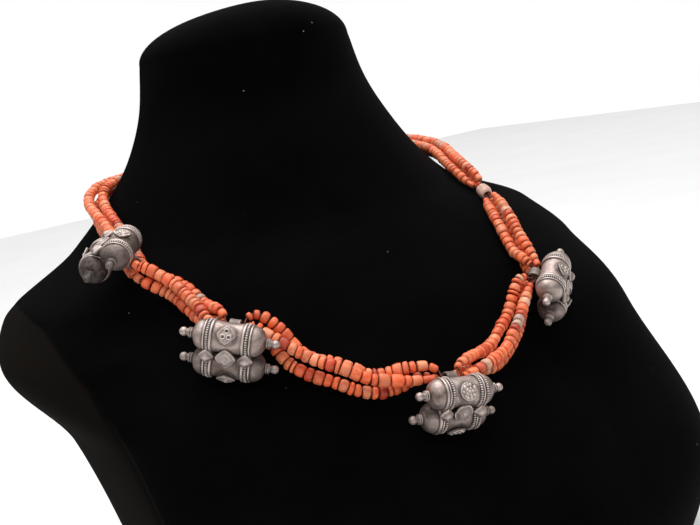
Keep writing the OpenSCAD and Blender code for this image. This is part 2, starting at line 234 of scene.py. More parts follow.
# ---------------------------------------------------------------- mesh building
class Build:
    """Gathers surfaces in mm. tone is (shade, light, grime and painted shade), for all points or
    for each.
    """

    def __init__(self):
        self.v, self.f, self.m, self.tone, self.n = [], [], [], [], 0

    def add(self, points, faces, mat, tone):
        self.v.append(points)
        self.tone.append(np.broadcast_to(tone, (len(points), 3)))
        self.f += [tuple(int(i) + self.n for i in f) for f in faces]
        self.m += [mat] * len(faces)
        self.n += len(points)

    def sheet(self, grid, mat=0, tone=(0.5, 0.5, 0.0), ends=(False, False), loop=False):
        """grid is rows x columns x 3, each row a closed ring. ends closes the first and the last
        ring, and loop joins them."""
        rows, cols = grid.shape[:2]
        faces = []
        for i in range(rows if loop else rows - 1):
            k = (i + 1) % rows
            for j in range(cols):
                b = (j + 1) % cols
                faces.append((i * cols + j, i * cols + b, k * cols + b, k * cols + j))
        points = grid.reshape(-1, 3)
        tone = np.asarray(tone, dtype=float)
        if tone.ndim > 1:
            tone = tone.reshape(-1, 3)
        for at_end, row in ((0, 0), (1, rows - 1)):
            if ends[at_end]:
                ring = points[row * cols:(row + 1) * cols]
                hub = len(points)
                points = np.vstack([points, ring.mean(axis=0)])
                if tone.ndim > 1:
                    tone = np.vstack([tone, tone[row * cols]])
                for j in range(cols):
                    pair = (row * cols + j, row * cols + (j + 1) % cols)
                    faces.append((hub,) + (pair if at_end else pair[::-1]))
        self.add(points, faces, mat, tone)

    def piece(self, name, mats, nodes, smooth):
        mesh = bpy.data.meshes.new(name)
        mesh.from_pydata((np.vstack(self.v) * MM).tolist(), [], self.f)
        mesh.polygons.foreach_set("material_index", self.m)
        for m in mats:
            mesh.materials.append(m)
        mesh.polygons.foreach_set("use_smooth", [True] * len(mesh.polygons))
        tones = mesh.color_attributes.new("tone", "FLOAT_COLOR", "POINT")
        rgba = np.ones((self.n, 4))
        rgba[:, :3] = np.vstack(self.tone)
        tones.data.foreach_set("color", rgba.ravel())
        mesh.set_sharp_from_angle(angle=math.radians(smooth))
        mesh.update()
        obj = bpy.data.objects.new(name, mesh)
        bpy.context.scene.collection.objects.link(obj)
        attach(obj, "root")
        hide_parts(*nodes)


def ring_frame(path, closed):
    """Two directions across a path at each of its points, which don't spin along it."""
    ahead = np.roll(path, -1, axis=0) if closed else np.vstack([path[1:], path[-1:]])
    behind = np.roll(path, 1, axis=0) if closed else np.vstack([path[:1], path[:-1]])
    t = ahead - behind
    t /= np.linalg.norm(t, axis=1, keepdims=True)
    start = np.array([0, 0, 1.0]) if abs(t[0][2]) < 0.9 else np.array([1.0, 0, 0])
    u = np.empty_like(t)
    u[0] = unit(start - (start @ t[0]) * t[0])
    for i in range(1, len(t)):
        u[i] = unit(u[i - 1] - (u[i - 1] @ t[i]) * t[i])
    return u, np.cross(t, u)


def tube(path, radius, sides, closed=False):
    u, v = ring_frame(path, closed)
    a = full_turn(sides)[None, :, None]
    r = np.broadcast_to(radius, (len(path),))[:, None, None]
    return path[:, None, :] + r * (np.cos(a) * u[:, None, :] + np.sin(a) * v[:, None, :])


def full_turn(count):
    return np.linspace(0, 2 * math.pi, count, endpoint=False)


def about_x(x, r, a):
    """Points at x along the X axis, r away from it and at angle a round it."""
    y, z = r * np.cos(a), r * np.sin(a)
    return np.stack([np.broadcast_to(x, y.shape), y, z], axis=-1)


def level_ring(y, r, a, x=0.0, z=0.0):
    """A ring in the X-Z plane at y, round the point x, z."""
    return np.stack([x + r * np.cos(a), np.full_like(a, y), z + r * np.sin(a)], axis=-1)


# ---------------------------------------------------------------- materials
def material(name):
    mat = bpy.data.materials.new(name)
    mat.use_nodes = True
    nodes, links = mat.node_tree.nodes, mat.node_tree.links
    shader = nodes["Principled BSDF"]
    return mat, nodes, links, shader


def node(nodes, kind, **inputs):
    n = nodes.new(kind)
    for key, value in inputs.items():
        if hasattr(n, key):
            setattr(n, key, value)
        else:
            n.inputs[key.replace("_", " ")].default_value = value
    return n


def mix_colour(nodes, links, factor, a, b, how="MIX"):
    m = nodes.new("ShaderNodeMix")
    m.data_type = "RGBA"
    m.blend_type = how
    for socket, value in ((m.inputs[0], factor), (m.inputs[6], a), (m.inputs[7], b)):
        if hasattr(value, "is_output"):
            links.new(value, socket)
        else:
            socket.default_value = value
    return m.outputs[2]


def maths(nodes, links, op, *values):
    m = nodes.new("ShaderNodeMath")
    m.operation = op
    for socket, value in zip(m.inputs, values):
        if hasattr(value, "is_output"):
            links.new(value, socket)
        else:
            socket.default_value = value
    return m.outputs[0]


def steps(nodes, links, value, stops):
    r = nodes.new("ShaderNodeValToRGB")
    while len(r.color_ramp.elements) < len(stops):
        r.color_ramp.elements.new(0.5)
    for element, (at, colour) in zip(r.color_ramp.elements, stops):
        element.position = at
        element.color = (*colour, 1) if len(colour) == 3 else colour
    links.new(value, r.inputs[0])
    return r.outputs[0]


def grey(v):
    return (v, v, v)


def object_coords(nodes):
    return nodes.new("ShaderNodeTexCoord").outputs["Object"]


def tone_parts(nodes, links):
    """The shade, the light, and the grime and painted shade that Build gives each point."""
    tone = node(nodes, "ShaderNodeAttribute", attribute_name="tone")
    parts = nodes.new("ShaderNodeSeparateColor")
    links.new(tone.outputs["Color"], parts.inputs[0])
    return parts.outputs


def noise(nodes, links, scale, detail, rough, coords, distortion=0.0):
    n = node(nodes, "ShaderNodeTexNoise", Scale=scale, Detail=detail, Roughness=rough,
             Distortion=distortion)
    links.new(coords, n.inputs["Vector"])
    return n.outputs["Fac"]


def cells(nodes, links, scale, coords):
    """How far each place is from the middle of the cell that it lies in."""
    n = node(nodes, "ShaderNodeTexVoronoi", Scale=scale)
    links.new(coords, n.inputs["Vector"])
    return n.outputs["Distance"]


def bump(nodes, links, height, strength, distance, before=None):
    b = nodes.new("ShaderNodeBump")
    b.inputs["Strength"].default_value = strength
    b.inputs["Distance"].default_value = distance
    links.new(height, b.inputs["Height"])
    if before is not None:
        links.new(before, b.inputs["Normal"])
    return b.outputs["Normal"]


def coral_material():
    mat, nodes, links, shader = material("coral_polish")
    shade, light, grime_and_shade = tone_parts(nodes, links)
    coords = object_coords(nodes)
    drift = noise(nodes, links, 260, 4, 0.6, coords)
    fine = noise(nodes, links, 1300, 3, 0.6, coords)
    pick = maths(nodes, links, "ADD", shade, maths(nodes, links, "MULTIPLY",
                 maths(nodes, links, "SUBTRACT", drift, 0.5), 0.55))
    colour = steps(nodes, links, pick, [
        (0.0, (0.40, 0.036, 0.014)), (0.16, (0.70, 0.080, 0.024)), (0.34, (0.86, 0.140, 0.042)),
        (0.55, (0.88, 0.205, 0.076)), (0.74, (0.85, 0.285, 0.140)), (0.88, (0.68, 0.36, 0.235)),
        (1.0, (0.50, 0.33, 0.26))])
    brighter = maths(nodes, links, "ADD", 0.63, maths(nodes, links, "MULTIPLY", light, 0.57))
    colour = mix_colour(nodes, links, 1.0, colour, brighter, "MULTIPLY")
    streak = steps(nodes, links, fine, [(0.30, grey(0.72)), (0.55, grey(1.0))])
    colour = mix_colour(nodes, links, 0.55, colour, streak, "MULTIPLY")
    # Pits, where a slower noise lets them
    where = steps(nodes, links, noise(nodes, links, 330, 2, 0.5, coords),
                  [(0.50, grey(0.0)), (0.60, grey(1.0))])
    hole = steps(nodes, links, cells(nodes, links, 620, coords),
                 [(0.10, grey(1.0)), (0.24, grey(0.0))])
    pit = maths(nodes, links, "MULTIPLY", hole, where)
    colour = mix_colour(nodes, links, maths(nodes, links, "MULTIPLY", pit, 0.75), colour,
                        (0.16, 0.03, 0.015, 1))
    # Painted shade, with some grime, darkens the bead ends and bores where the beads meet
    colour = mix_colour(nodes, links, maths(nodes, links, "MULTIPLY", grime_and_shade, 0.85), colour,
                        (0.13, 0.028, 0.015, 1))
    links.new(colour, shader.inputs["Base Color"])
    rough = steps(nodes, links, drift, [(0.3, grey(0.30)), (0.7, grey(0.50))])
    links.new(rough, shader.inputs["Roughness"])
    shader.inputs["Specular IOR Level"].default_value = 0.5
    shader.inputs["Subsurface Weight"].default_value = 0.12
    shader.inputs["Subsurface Radius"].default_value = (1.0, 0.32, 0.16)
    shader.inputs["Subsurface Scale"].default_value = 0.0015
    height = maths(nodes, links, "SUBTRACT", maths(nodes, links, "MULTIPLY", drift, 0.6), pit)
    first = bump(nodes, links, height, 0.5, 0.0004)
    links.new(bump(nodes, links, fine, 0.25, 0.00012, first), shader.inputs["Normal"])
    return mat


def silver_material():
    mat, nodes, links, shader = material("tarnished_silver")
    _, rubbed, tarnish_and_shade = tone_parts(nodes, links)
    coords = object_coords(nodes)
    cloud = noise(nodes, links, 120, 5, 0.6, coords)
    fine = noise(nodes, links, 900, 4, 0.6, coords)
    scratch = noise(nodes, links, 420, 6, 0.7, coords, 1.6)
    colour = steps(nodes, links, cloud, [
        (0.28, (0.15, 0.107, 0.084)), (0.45, (0.37, 0.288, 0.256)), (0.62, (0.54, 0.436, 0.405)),
        (0.78, (0.34, 0.270, 0.223))])
    dull = steps(nodes, links, fine, [(0.32, grey(0.62)), (0.60, grey(1.0))])
    colour = mix_colour(nodes, links, 0.6, colour, dull, "MULTIPLY")
    colour = mix_colour(nodes, links, maths(nodes, links, "MULTIPLY", rubbed, 0.75), colour,
                        (0.78, 0.69, 0.64, 1))
    # Tarnish, with painted shade in the hollows and between the parts, darkens the colour
    grime_and_shade = maths(nodes, links, "MULTIPLY", tarnish_and_shade,
                  steps(nodes, links, scratch, [(0.25, grey(1.0)), (0.75, grey(0.55))]))
    colour = mix_colour(nodes, links, grime_and_shade, colour, (0.020, 0.015, 0.013, 1))
    links.new(colour, shader.inputs["Base Color"])
    shader.inputs["Metallic"].default_value = 0.8
    rough = maths(nodes, links, "ADD",
                  steps(nodes, links, cloud, [(0.3, grey(0.38)), (0.7, grey(0.52))]),
                  maths(nodes, links, "MULTIPLY", grime_and_shade, 0.3))
    links.new(rough, shader.inputs["Roughness"])
    first = bump(nodes, links, cloud, 0.5, 0.0006)
    links.new(bump(nodes, links, scratch, 0.35, 0.00018, first), shader.inputs["Normal"])
    return mat


def velvet_material():
    mat, nodes, links, shader = material("black_velvet")
    coords = object_coords(nodes)
    nap = noise(nodes, links, 14, 5, 0.6, coords, 0.6)
    pile = noise(nodes, links, 2400, 2, 0.6, coords)
    colour = steps(nodes, links, nap,
                   [(0.35, (0.0007, 0.00065, 0.0007)), (0.65, (0.0018, 0.0017, 0.0018))])
    # Painted light: the side panels are painted lighter and browner, where the lamp falls on them
    _, panel_light, _ = tone_parts(nodes, links)
    lit_panel = steps(nodes, links, pile,
                 [(0.3, (0.0036, 0.0029, 0.0023)), (0.7, (0.0085, 0.0067, 0.0054))])
    panel = steps(nodes, links, panel_light, [(0.49, grey(0.0)), (0.54, grey(0.8)), (0.9, grey(1.0))])
    colour = mix_colour(nodes, links, panel, colour, lit_panel)
    # Specks of lint, here and there
    tiny = steps(nodes, links, cells(nodes, links, 95, coords),
                 [(0.024, grey(1.0)), (0.040, grey(0.0))])
    some = steps(nodes, links, noise(nodes, links, 40, 2, 0.5, coords),
                 [(0.57, grey(0.0)), (0.61, grey(1.0))])
    colour = mix_colour(nodes, links, maths(nodes, links, "MULTIPLY", tiny, some), colour,
                        (0.20, 0.19, 0.19, 1))
    links.new(colour, shader.inputs["Base Color"])
    shader.inputs["Roughness"].default_value = 0.95
    shader.inputs["Specular IOR Level"].default_value = 0.02
    shader.inputs["Sheen Weight"].default_value = 0.010
    shader.inputs["Sheen Roughness"].default_value = 0.35
    shader.inputs["Sheen Tint"].default_value = (0.75, 0.74, 0.78, 1)
    first = bump(nodes, links, nap, 0.4, 0.002)
    links.new(bump(nodes, links, pile, 0.5, 0.0003, first), shader.inputs["Normal"])
    return mat


def pale_material():
    mat, nodes, links, shader = material("pale_coral_bead")
    coords = object_coords(nodes)
    cloud = noise(nodes, links, 230, 5, 0.65, coords, 0.8)
    fine = noise(nodes, links, 1100, 3, 0.6, coords)
    colour = steps(nodes, links, cloud, [
        (0.30, (0.40, 0.20, 0.145)), (0.50, (0.62, 0.36, 0.28)), (0.70, (0.72, 0.50, 0.41))])
    dark = steps(nodes, links, fine, [(0.32, grey(0.6)), (0.5, grey(1.0))])
    links.new(mix_colour(nodes, links, 0.6, colour, dark, "MULTIPLY"), shader.inputs["Base Color"])
    shader.inputs["Roughness"].default_value = 0.48
    first = bump(nodes, links, cloud, 0.5, 0.0005)
    links.new(bump(nodes, links, fine, 0.3, 0.00015, first), shader.inputs["Normal"])
    return mat


def thread_material():
    mat, nodes, links, shader = material("waxed_thread")
    coords = object_coords(nodes)
    fibre = noise(nodes, links, 1800, 3, 0.6, coords)
    colour = steps(nodes, links, fibre,
                   [(0.35, (0.10, 0.018, 0.010)), (0.65, (0.26, 0.065, 0.032))])
    links.new(colour, shader.inputs["Base Color"])
    shader.inputs["Roughness"].default_value = 0.75
    links.new(bump(nodes, links, fibre, 0.6, 0.0002), shader.inputs["Normal"])
    return mat


def floor_material():
    mat, nodes, links, shader = material("pale_floor")
    cloud = noise(nodes, links, 6, 3, 0.5, object_coords(nodes))
    colour = steps(nodes, links, cloud, [(0.3, grey(0.80)), (0.7, grey(0.83))])
    links.new(colour, shader.inputs["Base Color"])
    shader.inputs["Roughness"].default_value = 0.85
    return mat


coral, silver, velvet = coral_material(), silver_material(), velvet_material()
pale_stone, thread = pale_material(), thread_material()

# ---------------------------------------------------------------- coral strings
SIDES, HOLE = 22, 0.5  # points round a bead, and the radius of its bore
CHIPPED = 0.45         # share of the beads with a chip in one rim
MEAN_LEN, LEN_SPREAD, LEN_RANGE = 3.5, 1.0, (1.7, 6.2)
VISIBLE_GAP = 0.14     # between two beads
# The shares of the beads, added up, that are dark, red, orange and pale, and their shades
SHADES = [(0.06, (0.06, 0.2)), (0.58, (0.26, 0.5)), (0.92, (0.5, 0.70)), (1.0, (0.76, 1.0))]
# Beads shorter than DISC_UNDER are discs, and the others have one of these shapes
DISC_UNDER, SHAPES = 2.3, {"barrel": 0.46, "cylinder": 0.42, "cone": 0.12}


def bead_rings(length, radius, kind, rng):
    """Rows of (distance along the bead, radius, grime and painted shade) from one end's hole to the
    other's.
    """
    edge = min(0.55, length * 0.20) * rng.uniform(0.7, 1.25)
    bulge = {"barrel": 0.13, "cylinder": 0.04, "disc": 0.08, "cone": 0.06}[kind]
    taper = rng.uniform(0.10, 0.22) if kind == "cone" else rng.uniform(-0.05, 0.05)
    flip = rng.choice([-1, 1])
    # The bores and the cut ends are darker: painted shade where the beads meet, with some grime
    rows = [(-0.5 * length + 0.30, HOLE * 0.9, 1.0), (-0.5 * length + 0.06, HOLE, 0.95),
            (-0.5 * length, radius * 0.55, 0.55)]
    for u in np.linspace(-1, 1, 9):
        x = u * (0.5 * length - edge * 0.35)
        r = radius * (1 - bulge * u * u + taper * flip * u * 0.5)
        if abs(u) > 0.99:
            x, r = u * (0.5 * length - 0.02), r - edge * 0.9
        elif abs(u) > 0.7:
            x, r = math.copysign(0.5 * length - edge * 0.75, u), r - edge * 0.16
        rows.append((x, r, 0.42 if abs(u) > 0.99 else 0.06 if abs(u) > 0.7 else 0.0))
    rows += [(-x, r, g) for x, r, g in reversed(rows[:3])]
    return np.array(rows)


def add_bead(build, centre, way, up, length, radius, lean0, lean1, kind, tone, rng):
    """lean0 and lean1 are the slopes of the bead's two ends. tone is its shade and light."""
    at_x, rings, dirt_and_shade = bead_rings(length, radius, kind, rng).T[..., None]
    a = full_turn(SIDES)
    wobble = 1.0 + sum(rng.uniform(0.0, k) * np.cos(m * a + rng.uniform(0, 6.28))
                       for m, k in ((2, 0.055), (3, 0.03), (5, 0.016)))
    side = np.cross(way, up)
    r = rings * np.where(rings > 0.8, wobble, 1.0)
    r = r * (1 + 0.012 * rng.standard_normal(r.shape) * (rings > 1.2))
    if rng.random() < CHIPPED:
        at, wide, deep = rng.uniform(0, 6.28), rng.uniform(0.25, 0.6), rng.uniform(0.15, 0.5)
        rim = 3 if rng.random() < 0.5 else len(rings) - 4
        off = np.abs((a - at + math.pi) % (2 * math.pi) - math.pi)
        bite = deep * np.clip(1 - off / wide, 0, 1)
        r[rim] -= bite
        r[rim + (1 if rim == 3 else -1)] -= 0.45 * bite
    y, z = r * np.cos(a), r * np.sin(a)
    # Cut ends lean, each the same way as its neighbour's
    share = at_x / length + 0.5
    x = at_x + ((1 - share) * (lean0[0] * y + lean0[1] * z) + share * (lean1[0] * y + lean1[1] * z))
    points = centre + x[..., None] * way + y[..., None] * side + z[..., None] * up
    tones = np.empty(r.shape + (3,))
    tones[..., 0] = tone[0]
    tones[..., 1] = tone[1]
    tones[..., 2] = dirt_and_shade
    build.sheet(points, 0, tones)


def coral_string(s, string):
    """String 0, 1 or 2 of a stretch: its beads and its thread."""
    label = "%s_%d" % (s[0], string + 1)
    rng = np.random.default_rng(1000 + 17 * stretches.index(s) + string)
    line = string_line(s, string)
    d = np.concatenate([[0], np.cumsum(np.linalg.norm(np.diff(line, axis=0), axis=1))])
    total, lead = d[-1], LEADS[string]

    def at(dist):
        return np.array([np.interp(dist, d, line[:, k]) for k in range(3)])

    room = total - 2 * lead
    lengths = []
    while sum(lengths) < room:
        lengths.append(float(np.clip(rng.normal(MEAN_LEN, LEN_SPREAD), *LEN_RANGE)))
    lengths = np.array(lengths) * room / sum(lengths)
    starts = lead + np.concatenate([[0], np.cumsum(lengths)])
    n = len(lengths)
    build = Build()
    leans = [rng.normal(0, 0.045, 2) for _ in range(n + 1)]
    way0 = unit(at(starts[0] + 0.5) - at(starts[0]))
    up = unit(np.cross(way0, np.array([0.3, 0.2, 1.0])))
    for j in range(n):
        a, b = starts[j], starts[j + 1]
        p0, p1 = at(a), at(b)
        way = unit(p1 - p0)
        up = unit(up - (up @ way) * way)
        bend = 0.0
        if j:
            before = unit(p0 - at(starts[j - 1]))
            bend = math.tan(0.5 * math.acos(min(1.0, float(before @ way))))
        if j < n - 1:
            after = unit(at(starts[j + 2]) - p1)
            bend = max(bend, math.tan(0.5 * math.acos(min(1.0, float(after @ way)))))
        # The last beads before a gather point are smaller
        small = 0.64 + 0.36 * min(1.0, min(j, n - 1 - j) / 2.5)
        radius = 0.5 * bead_d * small * rng.uniform(0.90, 1.03)
        length = max(1.0, np.linalg.norm(p1 - p0) - VISIBLE_GAP - 1.1 * radius * bend)
        kind = "disc" if length < DISC_UNDER else rng.choice(list(SHAPES), p=list(SHAPES.values()))
        pick = rng.random()
        shade = rng.uniform(*next(shades for share, shades in SHADES if pick < share))
        add_bead(build, 0.5 * (p0 + p1), way, up, length, radius, leans[j], leans[j + 1], kind,
                 (shade, rng.uniform(0.25, 0.85)), rng)
    # The thread runs on nearly to the middle of both gather points
    inner = [line[0] - (half_tube(s[1]) + MOUTH_GAP - 0.2) * along(s[1])]
    outer = [line[-1] + (half_tube(s[3]) + MOUTH_GAP - 0.2) * along(s[3])]
    path = np.vstack([inner, line[::4], line[-1:], outer])
    keep = np.concatenate([[True], np.linalg.norm(np.diff(path, axis=0), axis=1) > 0.02])
    build.sheet(tube(path[keep], 0.5 * thread_d, 8), 1, ends=(True, True))
    build.piece("string_" + label, [coral, thread], ["coral_" + label], 45)


for s in stretches:
    for string in range(3):
        coral_string(s, string)

# ---------------------------------------------------------------- silver amulets
LOOP_WALL, SOLDER = 0.9, 0.4
UPPER_PLATE, SIDE_PLATE = 0.92, 0.74   # widths as shares of the middle plate
PLATE_TURN = 40   # degrees that the upper and lower plate turn away from the front
LOOP_R = 0.5 * loop_bore + LOOP_WALL
AXIS_Y = SOLDER - 0.5 * barrel_d - LOOP_R
STEM_R, COLLAR_R = 1.3, 2.1
BAND_STEP, WIRE_BEADS = 1.35, 44   # from one wire of a band to the next, and beads of a wire
BARREL_SIDES = 64
USUAL = ("thin", "beaded", "plain")   # the wires of a band, from the outer to the inner


def end_profile():
    """Rows of (radius, distance along the barrel, grime and painted shade) of a dome, two collars
    and a knob.
    """
    half = 0.5 * barrel_len
    stem_at = half + dome_h
    ball_r = 0.5 * ball_d
    ball_at = stem_at + knob_len - ball_r
    neck = math.degrees(math.acos(STEM_R / ball_r))
    rows = [(STEM_R + (0.5 * barrel_d - STEM_R) * math.cos(math.radians(t)),
             half + dome_h * math.sin(math.radians(t)), 0.0) for t in range(0, 86, 6)]
    rows.append((STEM_R, stem_at + 0.05, 0.6))
    for centre, tall in ((stem_at + 0.75, 0.42), (stem_at + 1.65, 0.42)):
        for t in range(-75, 76, 25):
            rows.append((STEM_R + (COLLAR_R - STEM_R) * math.cos(math.radians(t)),
                         centre + tall * math.sin(math.radians(t)), 0.4 if abs(t) > 60 else 0.0))
    rows.append((STEM_R * 0.98, ball_at - ball_r * math.sin(math.radians(neck)) - 0.02, 0.5))
    for t in np.linspace(-neck, 86, 12):
        rows.append((ball_r * math.cos(math.radians(t)),
                     ball_at + ball_r * math.sin(math.radians(t)), 0.3 if t < -neck + 8 else 0.0))
    rows.append((0.02, ball_at + ball_r, 0.0))
    return rows


def barrel_profile():
    end = end_profile()
    body = [(0.5 * barrel_d, x, 0.0)
            for x in np.linspace(-0.5 * barrel_len, 0.5 * barrel_len, 36)[1:-1]]
    rows = [(r, -x, g) for r, x, g in reversed(end)] + body + end
    return np.array(rows)


def smooth_waves(points, rng, size, amount):
    """A slow random swell, for hammered sheet and worn castings."""
    total = np.zeros(points.shape[:-1])
    for _ in range(7):
        way = rng.standard_normal(3)
        way *= 2 * math.pi / (size * rng.uniform(0.7, 1.6) * np.linalg.norm(way))
        total += np.cos(points @ way + rng.uniform(0, 6.28))
    return amount * total / 2.6


def barrel(build, place, bands, rng, upper, dark_ends):
    """One barrel along X. bands is a list of (x, kind). upper is 1, or -1 for the lower barrel.
    dark_ends is the painted shade on its domes and knobs."""
    r, at_x, dirt_and_shade = barrel_profile().T[..., None]
    from_middle = np.abs(at_x)
    a = full_turn(BARREL_SIDES)
    dent = smooth_waves(about_x(at_x, r, a), rng, 7.0, 0.10) * np.clip(r / 4.0, 0.15, 1)
    grid = about_x(at_x, r + np.minimum(dent, 0.08), a)
    tone = np.empty(grid.shape)
    tone[..., 0] = 0.5
    tone[..., 1] = 0.28 * (from_middle > 0.5 * barrel_len + dome_h + 0.3)
    # Tarnish, with painted shade, lies under the bands, in the seam between the barrels and round
    # the plate; the whole lower barrel is darker as painted shade, and dark_ends darkens the ends
    # past the bands
    belt = np.clip((2.7 - np.abs(from_middle - band_at)) / 0.8, 0, 1)
    seam = np.clip((-upper * np.sin(a) - 0.55) / 0.4, 0, 1) * (from_middle < 14)
    plate_at = upper * math.radians(180 - PLATE_TURN)
    off = np.degrees(np.abs((a - plate_at + math.pi) % (2 * math.pi) - math.pi))
    halo = np.clip(1 - np.abs(np.hypot(at_x, off * 0.105) - 4.0) / 1.3, 0, 1)
    past = np.clip((from_middle - band_at - 1.5) / 2.0, 0, 1)
    tone[..., 2] = np.clip(dirt_and_shade + 0.85 * belt + 0.8 * seam + 0.75 * halo + 0.38 * (upper < 0), 0, 1)
    tone[..., 2] = np.clip(tone[..., 2] + dark_ends * past, 0, 1)
    build.sheet(place(grid), 0, tone, ends=(True, True))
    base = 0.5 * barrel_d + 0.12
    for at, kind in bands:
        if kind != "beaded":
            size = 0.62 if kind == "plain" else 0.40
            shape = tube(about_x(at, base, full_turn(100)), size, 12, True)
            high = np.clip((np.hypot(shape[..., 1], shape[..., 2]) - base) / size, -1, 1)
            # The wire's top is lighter where it is rubbed, and its foot darker with tarnish and
            # painted shade
            light, grime_and_shade = 0.7 * np.clip(high, 0, 1) ** 2, 0.55 - 1.2 * high
        else:
            # Beads of twisted wire: fat at each crown, with a neck between two darkened by tarnish
            # and painted shade
            dense = full_turn(6 * WIRE_BEADS)
            crown = 0.5 + 0.5 * np.cos(WIRE_BEADS * dense)
            shape = tube(about_x(at, base + 0.02, dense), 0.36 + 0.30 * np.sqrt(crown), 10, True)
            high = np.hypot(shape[..., 1], shape[..., 2]) - base
            light = np.clip(high / 0.6, 0, 1) * crown[:, None]
            grime_and_shade = 0.95 - 1.5 * crown[:, None] + 0.5 * (high < 0.15)
        tone = np.empty(shape.shape)
        tone[..., 0], tone[..., 1], tone[..., 2] = 0.5, light, np.clip(grime_and_shade, 0, 1)
        build.sheet(place(shape), 0, tone, loop=True)


def ball_grid(radius, x, y, z):
    """A small ball round a place, in seven rings of twelve points."""
    return np.array([level_ring(y + radius * math.sin(t), radius * math.cos(t), full_turn(12), x, z)
                     for t in np.linspace(-1.5, 1.5, 7)])


def lozenge(a, power):
    """The rim of a lozenge on its corner with soft sides, 1 from its middle at the corners."""
    return (np.abs(np.cos(a)) ** power + np.abs(np.sin(a)) ** power) ** (-1 / power)


def plate(build, place, width, kind, style, rng, thick):
    """A plate in the X-Z plane with its face towards -Y."""
    a = full_turn(64)
    rim = 0.5 * width * (1 + 0.02 * np.cos(6 * a) if kind == "round" else lozenge(a, 1.25))
    rise = {"domed": 1.6, "raised": 0.45, "grains": 0.2, "granules": 0.3, "rings": 0.25}[style]
    # Rows of the face from its middle out (share of the rim, share of the rise, light, grime), then
    # of the side (share of the rim, share of the thickness, light, grime); grime is tarnish and
    # painted shade
    face = [(0.0001, 1.0, 0.5, 0.0), (0.25, 0.95, 0.4, 0.0), (0.45, 0.84, 0.3, 0.1),
            (0.62, 0.68, 0.2, 0.25), (0.76, 0.48, 0.1, 0.35), (0.87, 0.27, 0.2, 0.3),
            (0.95, 0.12, 0.6, 0.1), (1.0, 0.0, 0.9, 0.0)]
    side = [(1.03, 0.82, 0.4, 0.2), (1.04, 0.4, 0.1, 0.8), (0.98, 0.0, 0.0, 1.0)]
    grid = np.array([level_ring(-thick - up * rise, share * rim, a) for share, up, _, _ in face]
                    + [level_ring(-thick * depth, share * rim, a) for share, depth, _, _ in side])
    grid[:len(face), :, 1] -= smooth_waves(grid[:len(face)], rng, 2.6, 0.10)
    tone = np.empty(grid.shape)
    tone[..., 0] = 0.5
    tone[..., 1:] = np.array(face + side)[:, None, 2:]
    build.sheet(place(grid), 0, tone, ends=(True, False))
    top = -thick - rise

    def grain(x, z, r, y):
        build.sheet(place(ball_grid(r, x, y, z)), 0, (0.5, 0.75, 0.0), ends=(True, True))

    def wire(path, r, light):
        build.sheet(place(tube(path, r, 8, True)), 0, (0.5, light, 0.1), loop=True)

    if style == "raised":   # a smaller lozenge or ring of wire, and another one round a grain
        b = full_turn(48)
        k = 0.30 * width * (np.ones(48) if kind == "round" else lozenge(b, 1.15))
        wire(level_ring(top + 0.25, k, b), 0.34, 0.55)
        wire(level_ring(top, 0.42 * k, b), 0.30, 0.55)
        grain(0, 0, 0.62, top)
    elif style == "rings":   # three small rings of wire, each round a dark hollow
        for ang in np.radians((90, 215, 325)):
            x, z = 0.20 * width * math.cos(ang), 0.20 * width * math.sin(ang)
            wire(level_ring(top - 0.02, 0.84, full_turn(20), x, z), 0.30, 0.9)
            # The hollow is a dark ball: tarnish and painted shade
            hollow = ball_grid(0.55, x, top + 0.25, z)
            build.sheet(place(hollow), 0, (0.5, 0.0, 1.0), ends=(True, True))
    elif style == "granules":   # a plate of irregular granulation
        for ring, count in ((0.0, 1), (0.18, 5), (0.36, 10)):
            for k in range(count):
                ang = 2 * math.pi * k / count + rng.uniform(-0.15, 0.15)
                rr = ring * width + rng.uniform(-0.15, 0.15)
                grain(rr * math.cos(ang), rr * math.sin(ang), rng.uniform(0.50, 0.82),
                      -thick - rise * (1 - ring * 2) + 0.15)
    elif style == "grains":
        grain(0, 0, 0.75, top)


